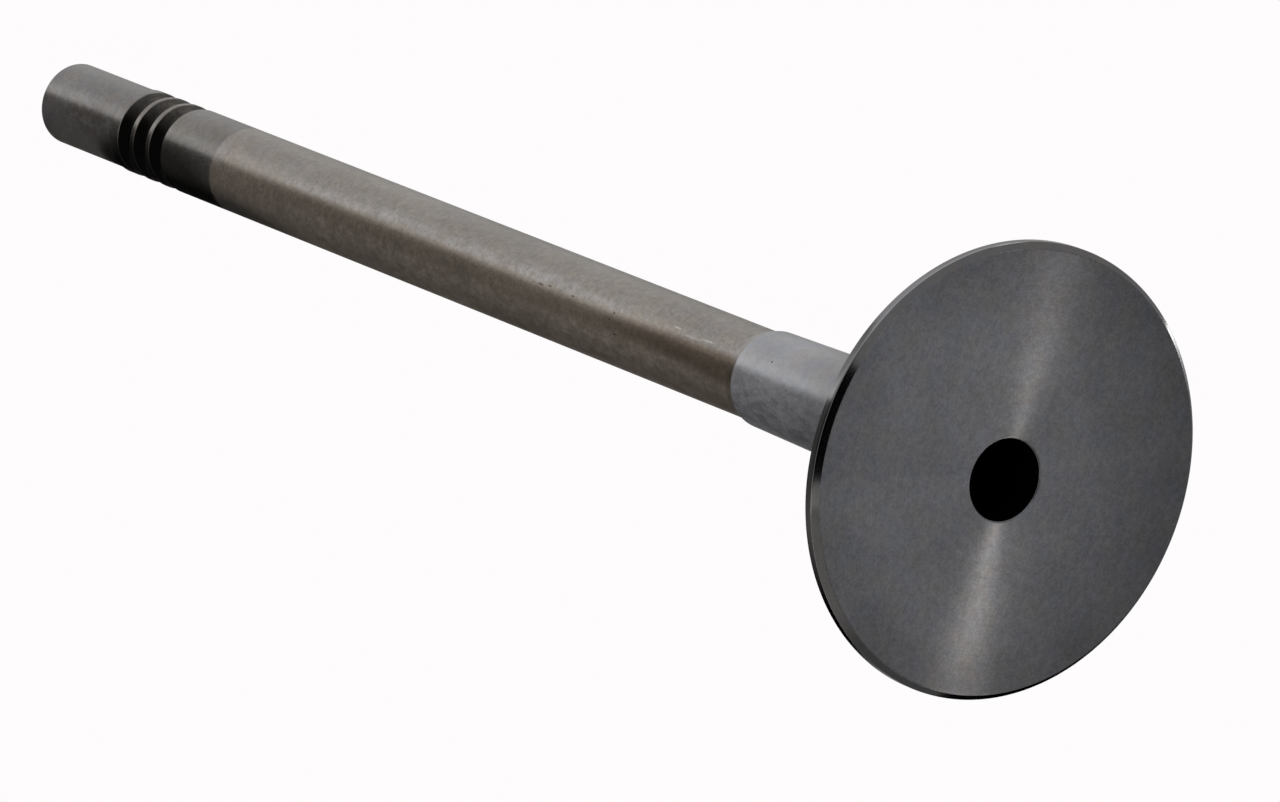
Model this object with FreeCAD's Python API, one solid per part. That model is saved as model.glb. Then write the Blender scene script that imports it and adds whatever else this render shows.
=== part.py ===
import FreeCAD, Part
import math
import os

# Poppet engine valve: one forged piece of steel, turned and ground about its axis, in millimetres.
# The origin is the centre of the flat head face, on z = 0, and +Z runs along the stem to the tip.
# Only the bore lies off that axis.

# Head
head_dia = 44.0
edge_chamfer = 0.5
margin_height = 1.5
seat_angle = 45.0
seat_inner_dia = 39.2
underside_angle = 19.0
tulip_radius = 18.0

# Blind bore in the head face, drilled a little off the valve's axis, towards -X
bore_offset = 0.7
bore_dia = 8.0
bore_depth = 10.0
bore_edge_break = 0.15
drill_point_angle = 118.0

# Neck, where the forged stem is thicker than the ground length above it
neck_top_z = 38.5
neck_top_dia = 9.65
neck_taper = 1.1
shoulder_length = 1.3
shoulder_blend_radius = 1.5

# Ground stem, from the shoulder to the keeper grooves, and the smaller length past them
stem_dia = 8.96
tip_dia = 8.65
overall_length = 167.5
tip_chamfer = 0.5
tip_step_length = 0.4

# Three keeper grooves, round in section
groove_count = 3
groove_pitch = 3.05
groove_width = 2.4
groove_depth = 0.8
groove_to_tip = 17.15
groove_edge_radius = 0.12
land_past_groove = 1.45

# The tulip fillet stays inside the straight runs that it joins
FILLET_SHARE = 0.98

# How far the bore's tool starts below the face, so that it cuts the whole mouth
TOOL_OVERRUN = 1.0

# An edge is a groove's rim when it is flat, and as wide and as high as it should be, within these
FLAT_WITHIN = 1e-4
RIM_WITHIN = 1e-3


def point(radius, height):
    """A point of the half section, in the XZ plane."""
    return FreeCAD.Vector(radius, 0, height)


def meeting_point(first, first_way, second, second_way):
    """Where two straight lines of the half section cross, each given by a point and a direction."""
    turn = first_way.x * second_way.z - first_way.z * second_way.x
    gap = second - first
    along = (gap.x * second_way.z - gap.z * second_way.x) / turn
    return first + first_way * along


def rounded_corner(before, corner, after, radius):
    """The start, middle and end of the arc that rounds a corner of the half section."""
    back = (before - corner).normalize()
    ahead = (after - corner).normalize()
    half_angle = back.getAngle(ahead) / 2
    longest = FILLET_SHARE * min((before - corner).Length, (after - corner).Length)
    reach = min(radius / math.tan(half_angle), longest)
    radius = reach * math.tan(half_angle)
    to_centre = (back + ahead).normalize()
    centre_distance = radius / math.sin(half_angle)
    middle = corner + to_centre * (centre_distance - radius)
    return corner + back * reach, middle, corner + ahead * reach


def head_corners():
    """The head from the middle of the face over the chamfer, the margin and the seat cone."""
    head_r = head_dia / 2
    seat_rise = (head_dia - seat_inner_dia) / 2 / math.tan(math.radians(seat_angle))
    return [
        (point(0, 0), 0),
        (point(head_r - edge_chamfer, 0), 0),
        (point(head_r, edge_chamfer), 0),
        (point(head_r, margin_height), 0),
        (point(seat_inner_dia / 2, margin_height + seat_rise), 0),
    ]


def neck_corners(seat_end):
    """The tulip fillet between the underside and the neck, and the shoulder up to the ground stem."""
    neck_top = point(neck_top_dia / 2, neck_top_z)
    neck_way = point(math.sin(math.radians(neck_taper)), -math.cos(math.radians(neck_taper)))
    slope = math.radians(underside_angle)
    underside_way = point(-math.cos(slope), math.sin(slope))
    tulip = meeting_point(seat_end, underside_way, neck_top, neck_way)
    return [
        (tulip, tulip_radius),
        (neck_top, shoulder_blend_radius),
        (point(stem_dia / 2, neck_top_z + shoulder_length), shoulder_blend_radius),
    ]


def tip_corners():
    """The stem's end: the step to the smaller diameter past the grooves, and the chamfered tip."""
    tip_r = tip_dia / 2
    step_z = overall_length - groove_to_tip + groove_width / 2 + land_past_groove
    return [
        (point(stem_dia / 2, step_z), 0),
        (point(tip_r, step_z + tip_step_length), 0),
        (point(tip_r, overall_length - tip_chamfer), 0),
        (point(tip_r - tip_chamfer, overall_length), 0),
        (point(0, overall_length), 0),
    ]


def outline_edges(corners):
    """Closed half section: straight runs between the corners, and an arc where a corner has a radius."""
    points = [corner for corner, radius in corners]
    edges = []
    starts = []
    ends = []
    for index, (corner, radius) in enumerate(corners):
        if radius == 0:
            starts.append(corner)
            ends.append(corner)
            continue
        before = points[index - 1]
        after = points[(index + 1) % len(points)]
        start, middle, end = rounded_corner(before, corner, after, radius)
        edges.append(Part.Arc(start, middle, end).toShape())
        starts.append(start)
        ends.append(end)
    for index, end in enumerate(ends):
        edges.append(Part.makeLine(end, starts[(index + 1) % len(starts)]))
    return edges


def turned(corners):
    """The solid that a half section sweeps round the Z axis."""
    wire = Part.Wire(Part.__sortEdges__(outline_edges(corners)))
    return Part.Face(wire).revolve(FreeCAD.Vector(0, 0, 0), FreeCAD.Vector(0, 0, 1), 360)


def turned_body():
    """The whole valve without its bore and its grooves, turned from one half section."""
    head = head_corners()
    seat_end = head[-1][0]
    return turned(head + neck_corners(seat_end) + tip_corners())


def bore_tool():
    """What the bore takes away: drill point, straight wall and broken edge, on the bore's own axis."""
    bore_r = bore_dia / 2
    point_height = bore_r / math.tan(math.radians(drill_point_angle / 2))
    tool = turned(
        [
            (point(0, -TOOL_OVERRUN), 0),
            (point(bore_r + bore_edge_break + TOOL_OVERRUN, -TOOL_OVERRUN), 0),
            (point(bore_r, bore_edge_break), 0),
            (point(bore_r, bore_depth), 0),
            (point(0, bore_depth + point_height), 0),
        ]
    )
    tool.translate(FreeCAD.Vector(-bore_offset, 0, 0))
    return tool


def groove_heights():
    """The height of each groove's middle, from the one nearest the tip towards the head."""
    return [overall_length - groove_to_tip - step * groove_pitch for step in range(groove_count)]


def groove_ring(height):
    """The ring that cuts one groove: its round section is as wide and deep as the groove."""
    half_width = groove_width / 2
    section_radius = (half_width**2 + groove_depth**2) / (2 * groove_depth)
    centre_radius = stem_dia / 2 - groove_depth + section_radius
    return Part.makeTorus(centre_radius, section_radius, FreeCAD.Vector(0, 0, height))


def groove_edges(body):
    """The circular edges where the grooves meet the stem's ground surface."""
    rims = [height + side * groove_width / 2 for height in groove_heights() for side in (-1, 1)]
    found = []
    for edge in body.Edges:
        box = edge.BoundBox
        flat = box.ZLength < FLAT_WITHIN
        on_stem = abs(box.XLength - stem_dia) < RIM_WITHIN
        if flat and on_stem and any(abs(box.ZMin - rim) < RIM_WITHIN for rim in rims):
            found.append(edge)
    return found


def valve():
    """The finished valve: the turned body, its bore, its keeper grooves and their broken edges."""
    body = turned_body().cut(bore_tool())
    for height in groove_heights():
        body = body.cut(groove_ring(height))
    body = body.makeFillet(groove_edge_radius, groove_edges(body))
    return body.Solids[0]


def main():
    os.makedirs("parts", exist_ok=True)
    shape = valve()
    shape.exportStep(os.path.join("parts", "valve.step"))
    box = shape.BoundBox
    print("valid", shape.isValid(), "solids", len(shape.Solids), "volume", round(shape.Volume, 2))
    print("size", round(box.XLength, 3), round(box.YLength, 3), round(box.ZLength, 3))


main()
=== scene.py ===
"""Engine valve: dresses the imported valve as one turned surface, with a plain studio round it."""

import math

import bpy
import numpy as np
from mathutils import Matrix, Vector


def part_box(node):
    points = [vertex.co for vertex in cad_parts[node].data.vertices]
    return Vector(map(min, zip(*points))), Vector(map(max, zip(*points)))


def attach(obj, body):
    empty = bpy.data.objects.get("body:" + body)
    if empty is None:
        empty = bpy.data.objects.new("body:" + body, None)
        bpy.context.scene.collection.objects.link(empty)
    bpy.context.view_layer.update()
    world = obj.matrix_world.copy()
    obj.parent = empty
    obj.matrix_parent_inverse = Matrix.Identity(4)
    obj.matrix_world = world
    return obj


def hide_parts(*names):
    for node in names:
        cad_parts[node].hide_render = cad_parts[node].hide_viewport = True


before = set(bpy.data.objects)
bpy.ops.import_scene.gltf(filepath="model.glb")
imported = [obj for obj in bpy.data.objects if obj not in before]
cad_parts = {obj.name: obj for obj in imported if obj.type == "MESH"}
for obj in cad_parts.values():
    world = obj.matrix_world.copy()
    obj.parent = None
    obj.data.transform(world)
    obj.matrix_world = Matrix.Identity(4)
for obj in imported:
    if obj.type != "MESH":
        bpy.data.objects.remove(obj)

bl_info = {
    "name": "Engine Valve",
    "version": (1, 0, 0),
    "blender": (4, 5, 0),
    "location": "3D View > Sidebar > Valve",
    "description": "Builds a poppet engine valve and a plain studio for it",
    "category": "Object",
}

MM = 0.001
NODE = "valve"
CAD_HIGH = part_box(NODE)[1]
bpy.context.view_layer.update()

# The finishes of the valve, from the bore over the head to the tip
FINISHES = ("bore", "face", "rim", "neck", "stem", "band", "groove", "tip")

# Steps along the arc that rounds a corner of the outline: a sharp edge, an outer edge, the seat's end, a
# rubbed chamfer or a shoulder, and the tulip's fillet
SHARP_STEPS, OUTER_STEPS, SEAT_STEPS, ROUND_STEPS, TULIP_STEPS = 2, 3, 4, 6, 48

# Points along a keeper groove's floor and along the small arc at each of its edges
GROOVE_POINTS, LIP_POINTS = 25, 6


def length(title, description, default):
    """A length that the user can change."""
    return bpy.props.FloatProperty(
        name=title, description=description, default=default, min=0, unit="LENGTH", precision=5
    )


def angle(title, description, degrees):
    """An angle that the user can change, given in degrees."""
    return bpy.props.FloatProperty(
        name=title, description=description, default=math.radians(degrees), subtype="ANGLE"
    )


def colour(title, description, default):
    """A linear colour that the user can change."""
    return bpy.props.FloatVectorProperty(
        name=title, description=description, default=default, size=3, min=0, max=1, subtype="COLOR"
    )


def level(title, description, default, most=10.0):
    """A plain factor that the user can change."""
    return bpy.props.FloatProperty(
        name=title, description=description, default=default, min=0, max=most, subtype="FACTOR"
    )


class HeadSizes(bpy.types.PropertyGroup):
    """The valve's head, its bore and its neck."""

    radius: length("Head radius", "From the axis to the margin", CAD_HIGH.x)
    chamfer: length("Edge chamfer", "Chamfer between face and margin", 0.62 * MM)
    rim_edge: length("Rim edge", "How far both edges of the chamfer are rubbed round", 0.22 * MM)
    margin: length("Margin height", "Where the seat cone starts, above the face", 1.5 * MM)
    seat_end: length("Seat end radius", "Where the seat cone meets the underside", 19.6 * MM)
    seat_top: length("Seat end height", "Height of that place above the face", 3.9 * MM)
    seat_edge: length("Seat edge", "How far the seat cone's end is rounded", 0.2 * MM)
    underside: angle("Underside angle", "Slope of the underside", 19)
    tulip: length("Tulip radius", "Fillet between underside and neck", 18 * MM)
    bore: length("Bore radius", "Blind bore in the face", 4 * MM)
    bore_offset: length("Bore offset", "From the valve's axis to the bore's, towards -X", 0.7 * MM)
    centred: length("Centred radius", "Where the face's rings are centred on the valve again", 12 * MM)
    bore_depth: length("Bore depth", "Depth of the bore's straight wall", 10 * MM)
    bore_break: length("Bore edge", "Broken edge at the bore's mouth", 0.15 * MM)
    drill_point: angle("Drill point", "Full angle of the bore's end", 118)
    neck_top: length("Neck height", "Where the neck meets the shoulder", 38.5 * MM)
    neck_radius: length("Neck radius", "Radius at the top of the neck", 4.825 * MM)
    neck_taper: angle("Neck taper", "Slope of the neck's side", 1.1)
    shoulder: length("Shoulder length", "From the neck to the ground stem", 1.3 * MM)
    shoulder_blend: length("Shoulder blend", "Radius at both ends of the shoulder", 1.5 * MM)


class StemSizes(bpy.types.PropertyGroup):
    """The ground stem, its keeper grooves and its tip."""

    radius: length("Stem radius", "Ground stem", 4.48 * MM)
    length: length("Length", "From the face to the tip", CAD_HIGH.z)
    band: length("Band height", "Where the brown finish ends", 133.5 * MM)
    grooves: bpy.props.IntProperty(name="Grooves", description="Number of keeper grooves", default=3, min=1)
    pitch: length("Groove pitch", "From one groove to the next", 3.05 * MM)
    width: length("Groove width", "Across one groove's mouth", 2.4 * MM)
    depth: length("Groove depth", "From the stem's side to the groove's floor", 0.8 * MM)
    top_groove: length("Groove to tip", "From the last groove's middle to the tip", 17.15 * MM)
    groove_edge: length("Groove edge", "Radius on the grooves' edges", 0.12 * MM)
    land: length("Land", "Stem past the last groove's mouth", 1.45 * MM)
    tip_radius: length("Tip radius", "The smaller end past the grooves", 4.325 * MM)
    step: length("Step length", "Slope down to the smaller end", 0.4 * MM)
    tip_chamfer: length("Tip chamfer", "Chamfer at the tip's end", 0.5 * MM)
    edge: length("Edge radius", "How far a sharp edge is rubbed round", 0.04 * MM)
    ring_gap: length("Ring gap", "Longest step along the outline", 1.6 * MM)
    rings: bpy.props.IntProperty(name="Sides", description="Steps round the axis", default=256, min=16)


class FinishColours(bpy.types.PropertyGroup):
    """What each length of the valve is coloured."""

    # Painted shade: the bore is coloured near black all over, as dark as a deep hole's shade
    bore: colour("Bore", "Scale in the bore", (0.001, 0.001, 0.001))
    face: colour("Face", "Turned face of the head", (0.348, 0.347, 0.37))
    rim: colour("Rim", "Chamfer, margin and seat", (0.24, 0.236, 0.236))
    neck: colour("Neck", "Bare neck and underside", (0.268, 0.27, 0.279))
    stem: colour("Stem", "Brown stain of the ground stem", (0.23, 0.212, 0.191))
    band: colour("Band", "Bare band at the keeper grooves", (0.163, 0.154, 0.142))
    groove: colour("Grooves", "Scale in the keeper grooves", (0.085, 0.08, 0.073))
    tip: colour("Tip", "Bare tip", (0.16, 0.154, 0.148))


class StudioSettings(bpy.types.PropertyGroup):
    """The camera and the light."""

    lens: bpy.props.FloatProperty(name="Lens", description="Focal length in mm", default=309.23, min=1)
    backdrop: colour("Backdrop", "Pale surround", (0.991, 0.973, 0.982))
    floor: colour("Floor", "Pale floor", (0.82, 0.81, 0.815))
    fill: level("Fill light", "Light of the surround on dull surfaces", 0.8)
    key: level("Key light", "Power of the soft box in watts", 4.8, 1000.0)
    streak: level("Face light", "Power of the lamp that the turned face catches, in watts", 0.49, 1000.0)


class ValveSettings(bpy.types.PropertyGroup):
    """All that the valve's panel shows."""

    head: bpy.props.PointerProperty(type=HeadSizes)
    stem: bpy.props.PointerProperty(type=StemSizes)
    colours: bpy.props.PointerProperty(type=FinishColours)
    studio: bpy.props.PointerProperty(type=StudioSettings)


def straight(start, end, gap, support):
    """A straight run: points on the line from start to end, at most a gap apart.

    A ring close to each end keeps the shading of the rounded corners off the run.
    """
    span = np.linalg.norm(end - start)
    support = min(support, span / 4) / span
    middle = np.linspace(support, 1 - support, max(2, int(span / gap) + 1))
    share = np.concatenate(([0.0], middle, [1.0]))[:, None]
    return start + (end - start) * share


def rounded_corner(before, corner, after, radius, steps):
    """The arc that rounds a corner.

    Each point is the centre plus the radius times a unit vector, which turns evenly from the point where
    the arc touches one side to the point where it touches the other.
    """
    back = (before - corner) / np.linalg.norm(before - corner)
    ahead = (after - corner) / np.linalg.norm(after - corner)
    half_angle = math.acos(np.clip(back @ ahead, -1, 1)) / 2
    reach = radius / math.tan(half_angle)
    middle_way = (back + ahead) / np.linalg.norm(back + ahead)
    centre = corner + middle_way * radius / math.sin(half_angle)
    start_way = (corner + back * reach - centre) / radius
    end_way = (corner + ahead * reach - centre) / radius
    turn = math.acos(np.clip(start_way @ end_way, -1, 1))
    share = np.linspace(0, 1, steps + 1)[:, None]
    way = np.sin((1 - share) * turn) * start_way + np.sin(share * turn) * end_way
    return centre + radius * way / math.sin(turn)


def outline(corners, sizes):
    """Straight runs from corner to corner, with an arc at each rounded one, and the finish of each run.

    A corner is given by its distance from the axis and its height, by the radius that rounds it, the steps
    along that arc, and the finish after it.
    """
    places = [np.array(corner[0]) for corner in corners]
    runs = []
    here = places[0]
    for index in range(1, len(corners)):
        finish = corners[index - 1][3]
        round_radius, steps = corners[index][1:3]
        if round_radius == 0:
            runs.append((finish, straight(here, places[index], sizes.ring_gap, sizes.edge)))
            here = places[index]
            continue
        arc = rounded_corner(places[index - 1], places[index], places[index + 1], round_radius, steps)
        runs.append((finish, straight(here, arc[0], sizes.ring_gap, sizes.edge)))
        runs.append((finish, arc))
        here = arc[-1]
    return runs


def tulip_corner(head):
    """Where the underside's cone and the neck's cone cross, solved as two lines of the half section."""
    down = np.array((math.sin(head.neck_taper), -math.cos(head.neck_taper)))
    inward = np.array((-math.cos(head.underside), math.sin(head.underside)))
    seat_end = np.array((head.seat_end, head.seat_top))
    neck_top = np.array((head.neck_radius, head.neck_top))
    along = np.linalg.solve(np.column_stack((inward, -down)), neck_top - seat_end)
    return seat_end + inward * along[0]


def lower_outline(head, stem):
    """The half section from the bore's end over the face and the neck to the grey band."""
    edge = stem.edge
    point_height = head.bore / math.tan(head.drill_point / 2)
    corners = [
        ((0, head.bore_depth + point_height), 0, 0, "bore"),
        ((head.bore, head.bore_depth), edge, SHARP_STEPS, "bore"),
        ((head.bore, head.bore_break), edge, SHARP_STEPS, "face"),
        ((head.bore + head.bore_break, 0), edge, SHARP_STEPS, "face"),
        ((head.radius - head.chamfer, 0), head.rim_edge, ROUND_STEPS, "rim"),
        ((head.radius, head.chamfer), head.rim_edge, ROUND_STEPS, "rim"),
        ((head.radius, head.margin), edge, OUTER_STEPS, "rim"),
        ((head.seat_end, head.seat_top), head.seat_edge, SEAT_STEPS, "neck"),
        (tuple(tulip_corner(head)), head.tulip, TULIP_STEPS, "neck"),
        ((head.neck_radius, head.neck_top), head.shoulder_blend, ROUND_STEPS, "stem"),
        ((stem.radius, head.neck_top + head.shoulder), head.shoulder_blend, ROUND_STEPS, "stem"),
        ((stem.radius, stem.band), 0, 0, "band"),
    ]
    return outline(corners, stem)


def groove_outline(stem, height):
    """One keeper groove, from its lower edge to its upper one: an arc with a small arc at each edge.

    The groove's circle has the groove's width as chord and its depth as rise. Each edge's circle touches
    the stem's side from within and the groove's circle from without.
    """
    half = stem.width / 2
    big = (half**2 + stem.depth**2) / (2 * stem.depth)
    big_centre = np.array((stem.radius - stem.depth + big, height))
    small = stem.groove_edge
    inset = big_centre[0] - (stem.radius - small)
    rise = math.sqrt((big + small) ** 2 - inset**2)
    touch = math.atan2(rise, inset)
    sweep = np.linspace(-touch, touch, GROOVE_POINTS)[:, None]
    floor = big_centre + big * np.hstack((-np.cos(sweep), np.sin(sweep)))
    turn = np.linspace(0, touch, LIP_POINTS)[:, None]
    lip = small * np.hstack((np.cos(turn), np.sin(turn)))
    low_centre = np.array((stem.radius - small, height - rise))
    high_centre = np.array((stem.radius - small, height + rise))
    high_lip = (high_centre + lip * (1, -1))[::-1]
    return [("band", low_centre + lip), ("groove", floor), ("band", high_lip)]


def upper_outline(stem):
    """The half section from the grey band over the grooves to the middle of the tip."""
    heights = [stem.length - stem.top_groove - step * stem.pitch for step in reversed(range(stem.grooves))]
    runs = []
    here = np.array((stem.radius, stem.band))
    for height in heights:
        groove = groove_outline(stem, height)
        runs.append(("band", straight(here, groove[0][1][0], stem.ring_gap, stem.edge)))
        runs += groove
        here = groove[-1][1][-1]
    step_start = heights[-1] + stem.width / 2 + stem.land
    tip_end = stem.length - stem.tip_chamfer
    corners = [
        (tuple(here), 0, 0, "band"),
        ((stem.radius, step_start), stem.edge, SHARP_STEPS, "tip"),
        ((stem.tip_radius, step_start + stem.step), stem.edge, SHARP_STEPS, "tip"),
        ((stem.tip_radius, tip_end), stem.edge, OUTER_STEPS, "tip"),
        ((stem.tip_radius - stem.tip_chamfer, stem.length), stem.edge, OUTER_STEPS, "tip"),
        ((0, stem.length), 0, 0, "tip"),
    ]
    return runs + outline(corners, stem)


def ring_shift(points, finish, head):
    """How far each ring's centre lies off the axis towards -X.

    It is the bore's offset on the bore, and s times that offset on the flat face, where s falls evenly
    with the radius from 1 at the bore's mouth to 0 at the centred radius. Elsewhere it is 0.
    """
    mouth = head.bore + head.bore_break
    share = np.clip((head.centred - points[:, 0]) / (head.centred - mouth), 0, 1)
    last = np.flatnonzero(finish <= FINISHES.index("face"))[-1] + 1
    share[last:] = 0
    return share * head.bore_offset


def turned_surface(runs, sides, head):
    """The outline carried round the axis: (r(v) cos u - d(v), r(v) sin u, z(v)), with d the ring's shift.

    It is closed round u and at both poles. Gives the vertices, the faces, the finish of each face, and for
    each face corner its map place: how far along the outline, and which share of a turn.
    """
    points = np.concatenate([run[:-1] for finish, run in runs] + [runs[-1][1][-1:]])
    finish = np.concatenate([np.full(len(run) - 1, FINISHES.index(name)) for name, run in runs])
    shift = ring_shift(points, finish, head)
    steps = np.linalg.norm(np.diff(points, axis=0), axis=1)
    travel = np.concatenate(([0.0], np.cumsum(steps)))

    turn = np.arange(sides) * (2 * math.pi / sides) + math.pi / 2
    radius, height = points[1:-1, 0, None], points[1:-1, 1, None]
    across = radius * np.cos(turn) - shift[1:-1, None]
    rings = np.stack((across, radius * np.sin(turn), height + 0 * turn), axis=-1)
    poles = np.array(((-shift[0], 0, points[0, 1]), (-shift[-1], 0, points[-1, 1])))
    vertices = np.concatenate((rings.reshape(-1, 3), poles))

    column = np.arange(sides)
    following = (column + 1) % sides
    row = (np.arange(len(rings) - 1) * sides)[:, None]
    corners = (row + column, row + following, row + sides + following, row + sides + column)
    quads = np.stack(corners, axis=-1).reshape(-1, 4)
    last_row = (len(rings) - 1) * sides
    first_pole = np.full(sides, len(vertices) - 2)
    first_fan = np.stack((first_pole, following, column), axis=-1)
    last_fan = np.stack((last_row + column, last_row + following, first_pole + 1), axis=-1)

    low, high = column / sides, (column + 1) / sides
    middle = (low + high) / 2
    start, end = travel[1:-2, None] + 0 * low, travel[2:-1, None] + 0 * low
    along = np.stack((start, start, end, end), axis=-1).reshape(-1)
    around = np.stack((low, high, high, low), axis=-1)
    around = np.broadcast_to(around, (len(rings) - 1, sides, 4)).reshape(-1)
    quad_map = np.stack((along, around), axis=-1)
    along = np.tile((travel[0], travel[1], travel[1]), sides)
    first_map = np.stack((along, np.stack((middle, high, low), axis=-1).ravel()), axis=-1)
    along = np.tile((travel[-2], travel[-2], travel[-1]), sides)
    last_map = np.stack((along, np.stack((low, high, middle), axis=-1).ravel()), axis=-1)

    faces = first_fan.tolist() + quads.tolist() + last_fan.tolist()
    return vertices, faces, finish.repeat(sides), np.concatenate((first_map, quad_map, last_map))


# Sockets of a Mix node that mixes colours
MIX_SHARE, MIX_FIRST, MIX_SECOND, MIX_RESULT = 0, 6, 7, 2

# The part of a cloudy noise's range over which its swing is spread
NOISE_LOW, NOISE_HIGH = 0.3, 0.7


class Nodes:
    """Short words for the nodes of one material or of the world."""

    def __init__(self, owner):
        owner.use_nodes = True
        self.tree = owner.node_tree
        self.tree.nodes.clear()

    def add(self, kind, inputs=None, **settings):
        """A node with its settings, and its inputs by name or number: a socket is linked, a value is set."""
        made = self.tree.nodes.new(kind)
        for name, value in settings.items():
            setattr(made, name, value)
        for name, value in (inputs or {}).items():
            if isinstance(value, bpy.types.NodeSocket):
                self.tree.links.new(value, made.inputs[name])
            else:
                made.inputs[name].default_value = value
        return made

    def maths(self, operation, first, second):
        """One step of arithmetic on two numbers."""
        return self.add("ShaderNodeMath", {0: first, 1: second}, operation=operation).outputs[0]

    def ramp(self, value, low, high, start=0.0, end=1.0):
        """The value carried smoothly from low..high to start..end, and held outside."""
        inputs = {"Value": value, "From Min": low, "From Max": high, "To Min": start, "To Max": end}
        return self.add("ShaderNodeMapRange", inputs, interpolation_type="SMOOTHSTEP").outputs[0]

    def swing(self, noise, middle, strength):
        """The middle value, lowered and raised by the strength as a share of it, as the noise goes."""
        return self.ramp(noise, NOISE_LOW, NOISE_HIGH, middle * (1 - strength), middle * (1 + strength))

    def noise(self, place, size, detail, roughness, stretch=(1, 1, 1)):
        """Cloudy noise with patches of about that size, over coordinates stretched by the given factors."""
        scaled = self.add("ShaderNodeMapping", {"Vector": place, "Scale": stretch}).outputs[0]
        inputs = {"Vector": scaled, "Scale": 1 / size, "Detail": detail, "Roughness": roughness}
        return self.add("ShaderNodeTexNoise", inputs).outputs["Fac"]

    def lines(self, place, size, detail):
        """Noise of one number only, for rings or lines of about that width."""
        inputs = {"W": place, "Scale": 1 / size, "Detail": detail}
        return self.add("ShaderNodeTexNoise", inputs, noise_dimensions="1D").outputs["Fac"]

    def tint(self, share, base, other):
        """The base colour turned towards the other one by the share."""
        inputs = {MIX_SHARE: share, MIX_FIRST: base, MIX_SECOND: other}
        return self.add("ShaderNodeMix", inputs, data_type="RGBA").outputs[MIX_RESULT]

    def brightness(self, base, factor):
        """The colour times a number."""
        grey = self.add("ShaderNodeCombineColor", {0: factor, 1: factor, 2: factor}).outputs[0]
        inputs = {MIX_SHARE: 1.0, MIX_FIRST: base, MIX_SECOND: grey}
        made = self.add("ShaderNodeMix", inputs, data_type="RGBA", blend_type="MULTIPLY")
        return made.outputs[MIX_RESULT]


def rgba(value):
    """A colour with its alpha."""
    return (*value, 1.0)


# The share of a mark's half width and half length within which it has its full strength
MARK_CORE = 0.4


def spots(nodes, place, marks, radius):
    """1 in the middle of each mark and 0 past its edge.

    A mark is given by its angle round from the -Y side towards +X in degrees, its height, and its half
    width and half length in mm, on a part of the given radius.
    """
    share = 0.0
    for degrees, height, half_width, half_length in marks:
        turn = math.radians(degrees)
        middle = (radius * math.sin(turn), -radius * math.cos(turn), height * MM)
        size = (half_width * MM, half_width * MM, half_length * MM)
        offset = nodes.add("ShaderNodeVectorMath", {0: place, 1: middle}, operation="SUBTRACT").outputs[0]
        scaled = nodes.add("ShaderNodeVectorMath", {0: offset, 1: size}, operation="DIVIDE").outputs[0]
        distance = nodes.add("ShaderNodeVectorMath", {0: scaled}, operation="LENGTH").outputs["Value"]
        share = nodes.maths("MAXIMUM", share, nodes.ramp(distance, 1.0, MARK_CORE))
    return share


# How wide the patches are that break up a finish
CLOUD_WIDTH = 7 * MM
PATCH_WIDTH = 2.6 * MM
RUBBED_WIDTH = 0.9 * MM
GRIT_WIDTH = 0.75 * MM
FINE_WIDTH = 0.28 * MM
TOOL_MARK_WIDTH = 0.25 * MM

# The part of the noise's range over which a patch turns from cool to warm, and over which a broken mark goes
# from none to full
PATCH_LOW, PATCH_HIGH = 0.35, 0.65
RUBBED_LOW, RUBBED_HIGH = 0.38, 0.6

# How far red, green and blue turn towards the cool side
COOL_TURN = (-1, -0.2, 1)

# How much of a finish's swelling its grit makes
GRIT_SWELL = 0.25


def marked(nodes, place, base, tinted, marks, radius):
    """The tinted colour under its marks: each turns it towards the base colour times its own factors."""
    for group, change, broken in marks:
        share = spots(nodes, place, group, radius)
        if broken:
            noise = nodes.noise(place, RUBBED_WIDTH, detail=4.0, roughness=0.75, stretch=(1, 1, 0.5))
            share = nodes.maths("MULTIPLY", nodes.ramp(noise, RUBBED_LOW, RUBBED_HIGH), share)
        changed = rgba([value * times for value, times in zip(base, change)])
        tinted = nodes.tint(share, tinted, changed)
    return tinted


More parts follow.
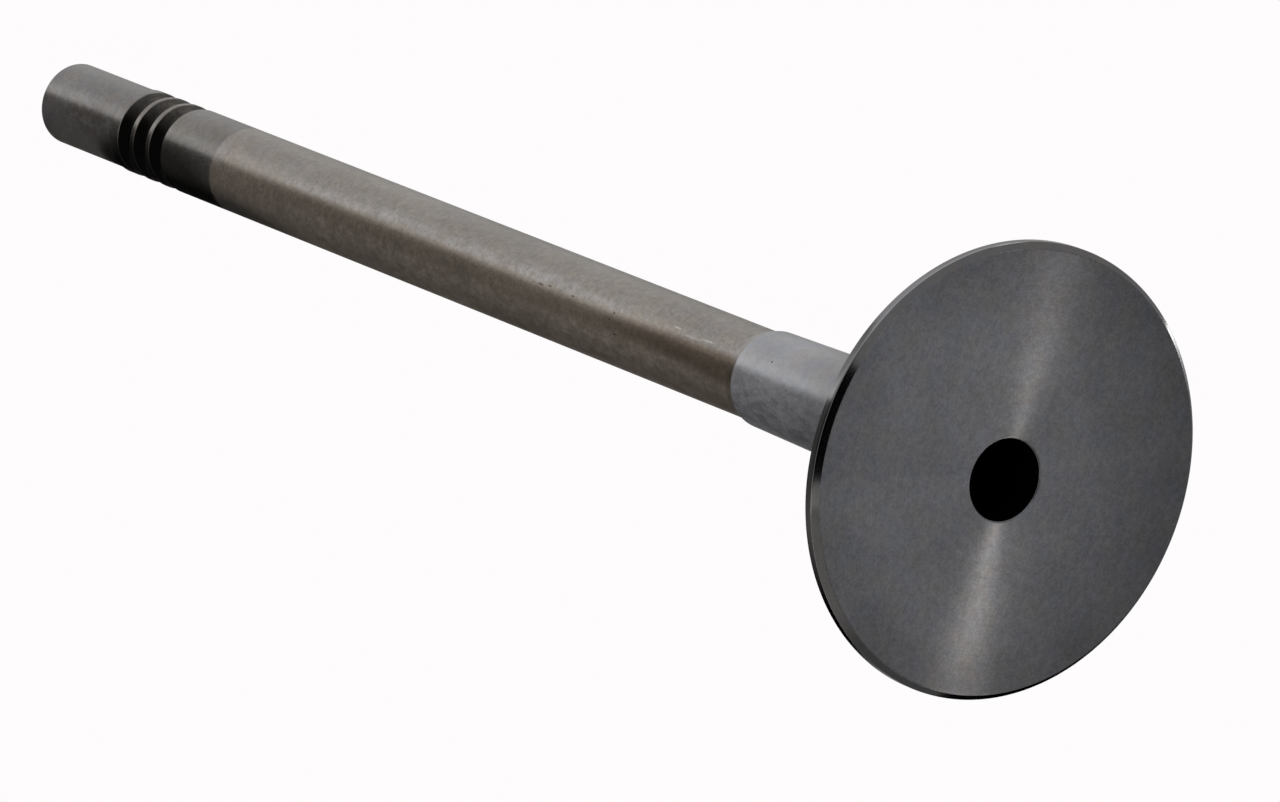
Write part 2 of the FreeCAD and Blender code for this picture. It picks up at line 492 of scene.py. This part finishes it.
def steel(
    name,
    base,
    metal=1.0,
    roughness=0.36,
    grain=0.6,
    rings=0.02,
    cloud=0.05,
    speck=0.06,
    hue=0.03,
    dents=0.0,
    uneven=0.05,
    gloss=0.5,
    lean=0.0,
    shades=(),
    marks=(),
    radius=4.5 * MM,
):
    """Steel worked round the axis: its marks run round it, so it glints along its outline.

    base is the colour and metal how far it is bare. roughness and grain are the spread of its glint and how
    much longer it is along the outline. rings, cloud, speck and hue are the strength of its tool marks,
    its large and small patches, and their turn from cool to warm. dents is how far it swells, in mm, and
    uneven how much its glint's spread changes from grain to grain.
    gloss is its glint off its dull part, and lean the outward slope of its tool marks. shades change its
    brightness along a line or away from a place: (number, start, end, first factor, last factor), where
    the number comes from the function in first place. marks are groups of marks, as spots() takes them,
    each with its factors on red, green and blue, and with whether it is broken up. A later one lies on top.
    radius is that of the length that the marks lie on.
    """
    material = bpy.data.materials.new(name)
    nodes = Nodes(material)
    place = nodes.add("ShaderNodeTexCoord").outputs["Object"]
    apart = nodes.add("ShaderNodeSeparateXYZ", {0: place})
    flat = nodes.add("ShaderNodeCombineXYZ", {0: apart.outputs[0], 1: apart.outputs[1]}).outputs[0]
    from_axis = nodes.add("ShaderNodeVectorMath", {0: flat}, operation="LENGTH").outputs["Value"]
    along = nodes.maths("ADD", from_axis, apart.outputs[2])

    clouds = nodes.noise(place, CLOUD_WIDTH, detail=4.0, roughness=0.6, stretch=(1, 1, 0.6))
    grit = nodes.noise(place, GRIT_WIDTH, detail=3.0, roughness=0.7)
    fine = nodes.noise(place, FINE_WIDTH, detail=2.0, roughness=0.6)
    patch = nodes.noise(place, PATCH_WIDTH, detail=4.0, roughness=0.6)
    tool_marks = nodes.lines(along, TOOL_MARK_WIDTH, detail=3.0)
    factor = nodes.swing(clouds, 1, cloud)
    for noise, strength in ((grit, speck), (fine, speck), (tool_marks, rings)):
        factor = nodes.maths("MULTIPLY", factor, nodes.swing(noise, 1, strength))
    for number, start, end, first, last in shades:
        factor = nodes.maths("MULTIPLY", factor, nodes.ramp(number(nodes, place), start, end, first, last))
    cool = [value * (1 + hue * turn) for value, turn in zip(base, COOL_TURN)]
    warm = [value * (1 - hue * turn) for value, turn in zip(base, COOL_TURN)]
    tinted = nodes.tint(nodes.ramp(patch, PATCH_LOW, PATCH_HIGH), rgba(cool), rgba(warm))
    tinted = marked(nodes, place, base, tinted, marks, radius)
    inputs = {
        "Base Color": nodes.brightness(tinted, factor),
        "Metallic": metal,
        "Roughness": nodes.swing(fine, roughness, uneven),
        "Anisotropic": grain,
        "Specular IOR Level": gloss,
    }
    if lean:
        outward = nodes.add("ShaderNodeVectorMath", {0: flat}, operation="NORMALIZE").outputs[0]
        slope = nodes.add("ShaderNodeVectorMath", {0: outward, "Scale": lean}, operation="SCALE").outputs[0]
        normal = nodes.add("ShaderNodeNewGeometry").outputs["Normal"]
        tilted = nodes.add("ShaderNodeVectorMath", {0: normal, 1: slope}, operation="ADD").outputs[0]
        inputs["Normal"] = nodes.add("ShaderNodeVectorMath", {0: tilted}, operation="NORMALIZE").outputs[0]
        inputs["Tangent"] = outward
    else:
        tangent = nodes.add("ShaderNodeTangent", direction_type="UV_MAP", uv_map="outline")
        inputs["Tangent"] = tangent.outputs[0]
    if dents:
        height = nodes.maths("ADD", patch, nodes.maths("MULTIPLY", grit, GRIT_SWELL))
        inputs["Normal"] = nodes.add("ShaderNodeBump", {"Distance": dents * MM, "Height": height}).outputs[0]
    shader = nodes.add("ShaderNodeBsdfPrincipled", inputs)
    nodes.add("ShaderNodeOutputMaterial", {"Surface": shader.outputs[0]})
    return material


def height_of(nodes, place):
    """The height above the face."""
    return nodes.add("ShaderNodeSeparateXYZ", {0: place}).outputs[2]


# The palest place of the face
PALEST = (-1.5 * MM, -8.5 * MM, 0)


def from_palest(nodes, place):
    """The distance from the palest place of the face, away from which painted shade darkens the face."""
    return nodes.add("ShaderNodeVectorMath", {0: place, 1: PALEST}, operation="DISTANCE").outputs["Value"]


def from_centre(nodes, place):
    """The distance from the middle of the face."""
    return nodes.add("ShaderNodeVectorMath", {0: place}, operation="LENGTH").outputs["Value"]


# Groups of marks from the rim to the tip. Each mark is given by its angle round from the -Y side towards +X
# in degrees, and by its height, half width and half length in mm.
# Painted shade on the margin, dimming its glint of the bright surround
RIM_PAINTED_SHADE = (
    (68.0, 1.3, 13.0, 0.9),
    (14.0, 1.3, 5.0, 0.9),
)
# Painted shade along the chamfer's outer edge, dimming its glint
RIM_EDGE_PAINTED_SHADE = ((-4.0, 0.68, 9.0, 0.35),)
# Painted light: the chamfer and margin made paler where they mirror dark surroundings
RIM_PAINTED_LIGHT = ((-43.0, 1.0, 9.6, 3.0),)
NECK_PITS = ((18.6, 33.6, 0.16, 0.2),)
STEM_PITS = (
    (4.7, 72.9, 0.13, 0.6),
    (6.6, 71.4, 0.12, 0.4),
    (5.2, 67.3, 0.12, 0.4),
    (4.6, 60.0, 0.2, 0.25),
    (-5.0, 60.4, 0.14, 0.2),
    (-20.0, 59.0, 0.12, 0.5),
)
# Painted dark reflection just under the stem's glint, next to the neck
STEM_PAINTED_DARK_REFLECTION = (
    (-6.5, 42.0, 1.7, 26.0),
    (-10.0, 41.0, 2.0, 8.0),
)
STEM_SHADOW = ((-9.0, 80.0, 1.5, 70.0),)
STEM_SCRATCHES = (
    (15.0, 44.5, 0.16, 1.6),
    (12.0, 47.0, 0.14, 1.8),
    (17.0, 49.5, 0.14, 1.2),
)
# Worn paler patches along the stem's glint, partly a painted highlight
STEM_WEAR_AND_PAINTED_HIGHLIGHT = (
    (9.0, 64.0, 1.1, 8.0),
    (12.0, 73.0, 1.7, 9.0),
    (9.0, 86.0, 1.3, 10.0),
    (10.0, 98.0, 1.6, 9.0),
    (9.0, 112.0, 1.0, 10.0),
)
# Painted shade, darker and browner, over the stem's dark side
STEM_BROWN_PAINTED_SHADE = ((-45.0, 86.0, 5.0, 140.0),)
STEM_PATCHES = (
    (-42.0, 58.0, 4.4, 24.0),
    (-42.0, 98.0, 4.4, 36.0),
)
# Painted shade, deeper on the neck's dark side
NECK_PAINTED_SHADE = ((-62.0, 30.0, 5.8, 60.0),)
NECK_PATCHES = ((-40.0, 30.0, 5.6, 24.0),)
# Painted shade on the groove edges' dark side, dimming their glints
RIDGE_PAINTED_SHADE = ((-58.0, 149.0, 5.2, 7.5),)
# Painted shade on the tip's dark side next to the grooves
TIP_PAINTED_SHADE = ((-66.0, 153.0, 4.2, 4.5),)
TIP_PATCHES = ((-14.0, 157.5, 2.2, 7.5),)
# The tip is made paler along its -X side
TIP_PALE_SIDE = ((-80.0, 161.0, 3.6, 14.0),)
BAND_STAIN = ((-53.0, 142.0, 5.8, 11.5),)
# Painted shade along the dark side of the stem and band towards the grooves
EDGE_PAINTED_SHADE = ((-74.0, 139.0, 3.4, 26.0),)
# Painted shade blackening the grooves on their dark side
GROOVE_PAINTED_SHADE = ((-35.0, 147.3, 7.6, 20.0),)


# For each finish the name of its material and what sets it apart from steel()'s own values
LOOKS = {
    "bore": (
        "bore_scale",
        {"metal": 0.0, "gloss": 0.0, "rings": 0.0, "hue": 0.0, "roughness": 0.9, "grain": 0.0},
    ),
    "face": (
        "turned_face",
        {
            "roughness": 0.377,
            "grain": 0.96,
            "cloud": 0.09,
            "speck": 0.11,
            "rings": 0.025,
            "lean": math.tan(math.radians(3.5)),
            # Painted shade darkens the face away from its palest place; the face also darkens towards the
            # rim
            "shades": (
                (from_palest, 9 * MM, 30 * MM, 1.0, 0.62),
                (from_centre, 14 * MM, 21.5 * MM, 1.0, 0.86),
            ),
        },
    ),
    "rim": (
        "ground_rim",
        {
            "roughness": 0.14,
            "grain": 0.3,
            "speck": 0.03,
            "radius": 22 * MM,
            # Painted shade: the margin is darker than the chamfer below it
            "shades": ((height_of, 0.5 * MM, 1.0 * MM, 1.08, 0.75),),
            "marks": (
                (RIM_PAINTED_SHADE, (0.45, 0.45, 0.45), False),
                (RIM_EDGE_PAINTED_SHADE, (0.4, 0.4, 0.4), False),
                (RIM_PAINTED_LIGHT, (2.0, 1.95, 1.9), False),
            ),
        },
    ),
    "neck": (
        "bare_neck",
        {
            "metal": 0.74,
            "roughness": 0.37,
            "cloud": 0.1,
            "dents": 0.014,
            "uneven": 0.12,
            "radius": 4.9 * MM,
            # Painted shade: the neck and underside darken towards the head
            "shades": ((height_of, 22 * MM, 33 * MM, 0.78, 1.06),),
            "marks": (
                (NECK_PAINTED_SHADE, (0.8, 0.8, 0.79), False),
                (NECK_PATCHES, (1.18, 1.2, 1.23), True),
                (NECK_PITS, (0.3, 0.29, 0.27), False),
            ),
        },
    ),
    "stem": (
        "stained_stem",
        {
            "metal": 0.78,
            "roughness": 0.38,
            "cloud": 0.08,
            "speck": 0.13,
            "hue": 0.025,
            "dents": 0.022,
            "uneven": 0.12,
            "radius": 4.48 * MM,
            "marks": (
                (STEM_WEAR_AND_PAINTED_HIGHLIGHT, (1.16, 1.23, 1.33), True),
                (STEM_SCRATCHES, (1.65, 1.74, 1.82), True),
                (STEM_BROWN_PAINTED_SHADE, (0.87, 0.79, 0.705), False),
                (STEM_PATCHES, (1.14, 1.07, 1.0), True),
                (STEM_SHADOW, (0.76, 0.7, 0.62), False),
                (STEM_PAINTED_DARK_REFLECTION, (0.48, 0.41, 0.34), False),
                (EDGE_PAINTED_SHADE, (0.35, 0.35, 0.35), False),
                (STEM_PITS, (0.3, 0.27, 0.24), False),
            ),
        },
    ),
    "band": (
        "bare_band",
        {
            "roughness": 0.33,
            "speck": 0.12,
            "dents": 0.012,
            "uneven": 0.1,
            "shades": ((height_of, 134 * MM, 142 * MM, 0.95, 1.05),),
            "marks": (
                (BAND_STAIN, (0.3, 0.29, 0.27), False),
                (EDGE_PAINTED_SHADE, (0.15, 0.15, 0.15), False),
                (RIDGE_PAINTED_SHADE, (0.08, 0.08, 0.08), False),
            ),
        },
    ),
    "groove": (
        "groove_scale",
        {
            "roughness": 0.45,
            "grain": 0.0,
            "speck": 0.15,
            "marks": ((GROOVE_PAINTED_SHADE, (0.03, 0.03, 0.03), False),),
        },
    ),
    "tip": (
        "bare_tip",
        {
            "metal": 0.85,
            "roughness": 0.33,
            "cloud": 0.1,
            "speck": 0.12,
            "dents": 0.012,
            "uneven": 0.1,
            "marks": (
                (TIP_PALE_SIDE, (1.7, 1.65, 1.6), False),
                (TIP_PATCHES, (0.72, 0.65, 0.6), True),
                (TIP_PAINTED_SHADE, (0.2, 0.19, 0.18), False),
            ),
        },
    ),
}


def valve_materials(colours):
    """One material for each finish, in the order of FINISHES."""
    made = []
    for finish in FINISHES:
        name, look = LOOKS[finish]
        made.append(steel(name, getattr(colours, finish), **look))
    return made


class VALVE_OT_add_valve(bpy.types.Operator):
    """Turn the valve from its outline and give it its finishes"""

    bl_idname = "valve.add_valve"
    bl_label = "Add Valve"

    def execute(self, context):
        settings = context.scene.valve_settings
        runs = lower_outline(settings.head, settings.stem) + upper_outline(settings.stem)
        vertices, faces, finish, places = turned_surface(runs, settings.stem.rings, settings.head)
        mesh = bpy.data.meshes.new("turned_valve")
        mesh.from_pydata(vertices.tolist(), [], faces)
        mesh.polygons.foreach_set("use_smooth", np.ones(len(faces), bool))
        mesh.polygons.foreach_set("material_index", finish.astype(np.int32))
        mesh.uv_layers.new(name="outline").data.foreach_set("uv", places.ravel())
        for material in valve_materials(settings.colours):
            mesh.materials.append(material)
        mesh.update()
        if mesh.validate():
            raise RuntimeError("the valve's surface has faulty faces")
        piece = bpy.data.objects.new("turned_valve", mesh)
        context.scene.collection.objects.link(piece)
        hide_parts(NODE)
        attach(piece, "root")
        return {"FINISHED"}


def stage_mesh(name, vertices, faces, material):
    """A mesh of the studio."""
    mesh = bpy.data.meshes.new(name)
    mesh.from_pydata([tuple(vertex) for vertex in vertices], [], faces)
    mesh.materials.append(material)
    made = bpy.data.objects.new(name, mesh)
    bpy.context.scene.collection.objects.link(made)
    return made


def one_sided(nodes, surface):
    """The surface seen from its front and nothing from its back."""
    back = nodes.add("ShaderNodeNewGeometry").outputs["Backfacing"]
    clear = nodes.add("ShaderNodeBsdfTransparent").outputs[0]
    return nodes.add("ShaderNodeMixShader", {0: back, 1: surface, 2: clear}).outputs[0]


# The floor's inner ring, the distance from which it fades, its outer ring, and its steps round the middle
FLOOR_INNER, FLOOR_FADE, FLOOR_OUTER, FLOOR_SIDES = 0.2, 1.3, 1.8, 192


def add_floor(settings, hole, height):
    """A pale ring round the head, from the hole's radius outwards, that fades out towards its edge.

    It is seen from above only: the camera looks at the face from underneath.
    """
    material = bpy.data.materials.new("pale_floor")
    nodes = Nodes(material)
    place = nodes.add("ShaderNodeTexCoord").outputs["Object"]
    distance = nodes.add("ShaderNodeVectorMath", {0: place}, operation="LENGTH").outputs["Value"]
    dull = nodes.add("ShaderNodeBsdfDiffuse", {"Color": rgba(settings.floor)}).outputs[0]
    clear = nodes.add("ShaderNodeBsdfTransparent").outputs[0]
    fade = nodes.ramp(distance, FLOOR_FADE, FLOOR_OUTER)
    faded = nodes.add("ShaderNodeMixShader", {0: fade, 1: dull, 2: clear}).outputs[0]
    nodes.add("ShaderNodeOutputMaterial", {"Surface": one_sided(nodes, faded)})
    column = np.arange(FLOOR_SIDES)
    turn = column * (2 * math.pi / FLOOR_SIDES)
    round_way = np.stack((np.cos(turn), np.sin(turn)), axis=-1)
    rings = np.concatenate([radius * round_way for radius in (hole, FLOOR_INNER, FLOOR_OUTER)])
    vertices = np.column_stack((rings, np.full(len(rings), height)))
    following = (column + 1) % FLOOR_SIDES
    strip = np.stack((column, FLOOR_SIDES + column, FLOOR_SIDES + following, following), axis=-1)
    faces = strip.tolist() + (FLOOR_SIDES + strip).tolist()
    stage_mesh("floor", vertices, faces, material)


def add_card(name, corners, glow, far_glow=None, start=0.0, end=1.0):
    """A flat card through four corners that only the metal's glint sees, at a level where 1 is white.

    From the edge between the first two corners to the edge between the last two, the level goes from glow
    to far_glow, between the two shares of the way.
    """
    material = bpy.data.materials.new(name)
    nodes = Nodes(material)
    place = nodes.add("ShaderNodeTexCoord").outputs["UV"]
    along = nodes.add("ShaderNodeSeparateXYZ", {0: place}).outputs[1]
    far_glow = glow if far_glow is None else far_glow
    strength = nodes.ramp(along, start, end, glow, far_glow)
    light = nodes.add("ShaderNodeEmission", {"Strength": strength}).outputs[0]
    nodes.add("ShaderNodeOutputMaterial", {"Surface": one_sided(nodes, light)})
    card = stage_mesh(name, corners, [(0, 1, 2, 3)], material)
    places = np.array(((0, 0), (1, 0), (1, 1), (0, 1)), float)
    card.data.uv_layers.new(name="card").data.foreach_set("uv", places.ravel())
    card.visible_camera = card.visible_diffuse = card.visible_shadow = False


def add_world(settings):
    """A pale surround: white where it is seen or mirrored, and at the fill level on dull surfaces."""
    world = bpy.data.worlds.new("surround")
    bpy.context.scene.world = world
    nodes = Nodes(world)
    path = nodes.add("ShaderNodeLightPath")
    seen = nodes.maths("MAXIMUM", path.outputs["Is Camera Ray"], path.outputs["Is Glossy Ray"])
    seen = nodes.maths("MAXIMUM", seen, path.outputs["Is Transmission Ray"])
    strength = nodes.ramp(seen, 0.0, 1.0, settings.fill, 1.0)
    light = nodes.add("ShaderNodeBackground", {"Color": rgba(settings.backdrop), "Strength": strength})
    nodes.add("ShaderNodeOutputWorld", {"Surface": light.outputs[0]})


def add_lamp(name, place, aim, size, power, glints=True, tone=(1, 1, 1)):
    """A soft lamp at the place, turned towards the aim, which may be kept out of the metal's glint."""
    data = bpy.data.lights.new(name, "AREA")
    data.shape = "RECTANGLE"
    data.size, data.size_y = size
    data.energy = power
    data.color = tone
    lamp = bpy.data.objects.new(name, data)
    place = np.array(place)
    back = (place - aim) / np.linalg.norm(place - aim)
    right = np.cross((0, 0, 1), back)
    right /= np.linalg.norm(right)
    lamp.matrix_world = pose(right, np.cross(back, right), back, place)
    lamp.visible_glossy = glints
    bpy.context.scene.collection.objects.link(lamp)


def pose(right, up, back, place):
    """The matrix of a camera or lamp from its three axes and its place."""
    matrix = np.eye(4)
    matrix[:3] = np.column_stack((right, up, back, place))
    return Matrix(matrix.tolist())


# Where the photograph's camera sees the middle of the face, and which way it sees the stem run: to the
# right, down and ahead of the camera
FACE_SEEN_AT = np.array((34.3105, 6.7322, 1025.2943)) * MM
STEM_SEEN_ALONG = np.array((-0.56064033, -0.22763776, 0.79615543))

# The sensor's width in mm that the focal length goes with, and the nearest and furthest that the camera sees
SENSOR_WIDTH, NEAREST, FURTHEST = 36, 0.05, 20


def add_camera(settings):
    """The photograph's camera, in the plane of Y and Z, on the -Y side and below the face."""
    stem_way = STEM_SEEN_ALONG / np.linalg.norm(STEM_SEEN_ALONG)
    to_camera = -FACE_SEEN_AT / np.linalg.norm(FACE_SEEN_AT)
    across = to_camera - (to_camera @ stem_way) * stem_way
    y_seen = -across / np.linalg.norm(across)
    x_seen = np.cross(y_seen, stem_way)
    seen = np.stack((x_seen, y_seen, stem_way))
    place = -seen @ FACE_SEEN_AT
    data = bpy.data.cameras.new("photo_camera")
    data.lens = settings.lens
    data.sensor_width = SENSOR_WIDTH
    data.clip_start, data.clip_end = NEAREST, FURTHEST
    camera = bpy.data.objects.new("photo_camera", data)
    camera.matrix_world = pose(seen[:, 0], -seen[:, 1], -seen[:, 2], place)
    bpy.context.scene.collection.objects.link(camera)
    bpy.context.scene.camera = camera


def add_upper_cards():
    """Cards round and over the stem.

    The roof's edge beside the plane x = 0 parts the stem's light side from its dark one. Two upright strips
    make the stem glint from behind.
    """
    edge, left, near, far, height, roof_end_at = 0.02, -1.8, -1.8, 0.45, 0.9, 0.8
    roof = [(edge, near, height), (left, near, height), (left, far, height), (edge, far, height)]
    add_card("roof", roof, glow=0.14, far_glow=0.0, start=0.6, end=0.89)
    right, back = 1.8, 1.2
    roof_end = [roof[3], roof[2], (left, roof_end_at, height), (edge, roof_end_at, height)]
    add_card("roof_end", roof_end, glow=0.0, far_glow=0.25)
    pale_roof = [(right, 0, height), (edge, 0, height), (edge, back, height), (right, back, height)]
    add_card("pale_roof", pale_roof, glow=1.0, far_glow=0.5, start=0.12, end=0.56)
    wide, behind, low, high = 1.3, 0.95, -0.3, 0.88
    back_card = [(wide, behind, low), (wide, behind, high), (-wide, behind, high), (-wide, behind, low)]
    add_card("back_card", back_card, glow=0.3, far_glow=0.0, start=0.3, end=0.6)
    low, high, across = (edge, -0.75, 0.75), (edge, -0.35, 1.15), 0.22
    soft_box = [low, high, (high[0] + across, *high[1:]), (low[0] + across, *low[1:])]
    add_card("soft_box", soft_box, glow=1.65)
    far_side = [(low[0] + across, *low[1:]), (high[0] + across, *high[1:])]
    far_side += [(corner[0] + across, *corner[1:]) for corner in reversed(far_side)]
    add_card("soft_box_edge", far_side, glow=1.65, far_glow=1.0)
    for name, angle_round, width in (("strip_right", 100, 0.16), ("strip_back", 160, 0.12)):
        add_card(name, upright(angle_round, distance=0.85, width=width, low=0.1, high=0.36), glow=4.0)


def upright(degrees, distance, width, low, high):
    """The corners of an upright card that faces the axis, some degrees round from the -Y side towards +X."""
    turn = math.radians(degrees)
    middle = distance * np.array((math.sin(turn), -math.cos(turn)))
    side = width / 2 * np.array((math.cos(turn), math.sin(turn)))
    right, left = middle + side, middle - side
    return [(*right, low), (*left, low), (*left, high), (*right, high)]


def add_lower_cards():
    """The walls and the bottom of a box below the floor, in which the camera stands: the face mirrors it."""
    side, deep, raise_to, grey, dark = 0.9, -1.1, 0.35, 0.34, 0.15
    low = [(-side, -side, deep), (side, -side, deep), (side, side, deep), (-side, side, deep)]
    top = [(x, y, 0) for x, y, z in low]
    raised = [(x, y, raise_to) for x, y, z in low]
    add_card("box_bottom", low, grey)
    add_card("box_near", [top[0], top[1], low[1], low[0]], grey)
    add_card("box_right", [raised[1], raised[2], low[2], low[1]], grey)
    add_card("box_far", [top[2], top[3], low[3], low[2]], grey)
    add_card("box_left", [raised[3], raised[0], low[0], low[3]], dark)
    left, right, back, high, deep = -0.6, 0.3, -0.88, -0.2, -1.09
    shade = [(left, back, high), (right, back, high), (right, back, deep), (left, back, deep)]
    add_card("camera_shade", shade, glow=0.0)


# Where each lamp stands, what it is turned to, and how wide and high it is
KEY_LAMP = ((0.55, -0.62, 0.95), (0, 0, 0.08), (0.35, 0.35))
FACE_LAMP = ((-0.42, 0.709, -0.566), (0, 0, 0), (0.08, 0.08))
FACE_LAMP_TONE = (1, 0.94, 0.83)


class VALVE_OT_add_stage(bpy.types.Operator):
    """Set up the floor, the surround, the cards, the lamps and the camera"""

    bl_idname = "valve.add_stage"
    bl_label = "Add Stage"

    def execute(self, context):
        settings = context.scene.valve_settings
        context.scene.view_settings.view_transform = "Standard"
        add_world(settings.studio)
        add_floor(settings.studio, settings.head.radius, settings.head.chamfer)
        add_upper_cards()
        add_lower_cards()
        add_lamp("key_lamp", *KEY_LAMP, settings.studio.key, glints=False)
        add_lamp("face_lamp", *FACE_LAMP, settings.studio.streak, tone=FACE_LAMP_TONE)
        add_camera(settings.studio)
        return {"FINISHED"}


class VALVE_PT_panel(bpy.types.Panel):
    """Sizes, colours and the two operators"""

    bl_idname = "VALVE_PT_panel"
    bl_label = "Engine Valve"
    bl_space_type = "VIEW_3D"
    bl_region_type = "UI"
    bl_category = "Valve"

    def draw(self, context):
        settings = context.scene.valve_settings
        for group in (settings.head, settings.stem, settings.colours, settings.studio):
            column = self.layout.box().column()
            for name in group.__annotations__:
                column.prop(group, name)
        self.layout.operator(VALVE_OT_add_valve.bl_idname)
        self.layout.operator(VALVE_OT_add_stage.bl_idname)


CLASSES = (
    HeadSizes,
    StemSizes,
    FinishColours,
    StudioSettings,
    ValveSettings,
    VALVE_OT_add_valve,
    VALVE_OT_add_stage,
    VALVE_PT_panel,
)


def register():
    for cls in CLASSES:
        bpy.utils.register_class(cls)
    bpy.types.Scene.valve_settings = bpy.props.PointerProperty(type=ValveSettings)


def unregister():
    del bpy.types.Scene.valve_settings
    for cls in reversed(CLASSES):
        bpy.utils.unregister_class(cls)


def main():
    register()
    bpy.ops.valve.add_valve()
    bpy.ops.valve.add_stage()


if __name__ == "__main__":
    main()
